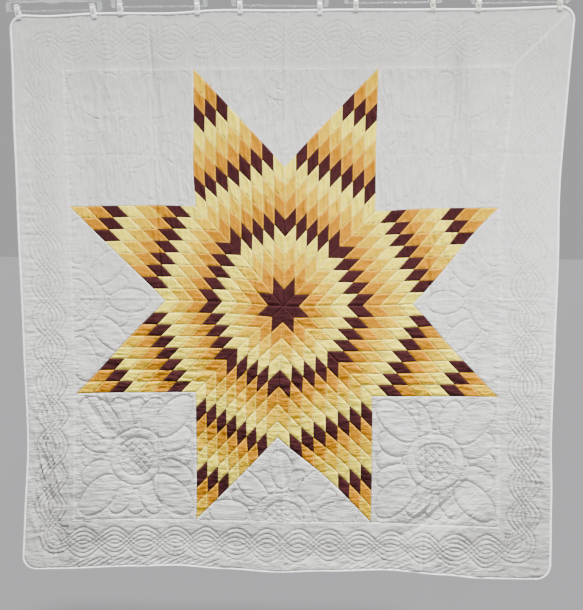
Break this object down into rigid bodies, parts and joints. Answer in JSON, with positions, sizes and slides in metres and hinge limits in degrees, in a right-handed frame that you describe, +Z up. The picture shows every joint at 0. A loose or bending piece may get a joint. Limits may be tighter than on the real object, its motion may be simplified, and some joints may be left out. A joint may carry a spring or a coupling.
{
  "type": "star quilt hung from clip hangers",
  "caption": "Square pieced quilt with an eight-point star of small diamonds, quilted white ground and bound edge, hung by its top edge from clip hangers.",
  "frame": {"origin": "where the middle hanger's hook rests on its rail", "axes": "+Z up, the star faces -Y, +X to the right as seen from the front"},
  "size_m": [2.106, 0.0298, 2.3288],
  "materials": {
    "white_cotton": "plain cotton, quilted",
    "brown_cotton": "plain cotton",
    "orange_cotton": "plain cotton",
    "gold_cotton": "plain cotton",
    "cream_cotton": "plain cotton",
    "white_binding": "folded cotton strip",
    "clear_plastic": "clear moulded plastic",
    "white_plastic": "moulded plastic",
    "ivory_plastic": "moulded plastic",
    "steel_wire": "plated wire"
  },
  "bodies": {
    "root": {"quilt": "white_cotton", "binding": "white_binding", "hanger_1": "clear_plastic", "hook_1": "steel_wire", "clip_1_left": "white_plastic", "clip_1_right": "white_plastic", "hanger_2": "clear_plastic", "hook_2": "steel_wire", "clip_2_left": "white_plastic", "clip_2_right": "white_plastic", "hanger_3": "clear_plastic", "hook_3": "steel_wire", "clip_3_left": "white_plastic", "clip_3_right": "white_plastic", "hanger_4": "clear_plastic", "hook_4": "steel_wire", "clip_4_left": "ivory_plastic", "clip_4_right": "ivory_plastic", "hanger_5": "clear_plastic", "hook_5": "steel_wire", "clip_5_left": "ivory_plastic", "clip_5_right": "ivory_plastic"}
  },
  "joints": []
}
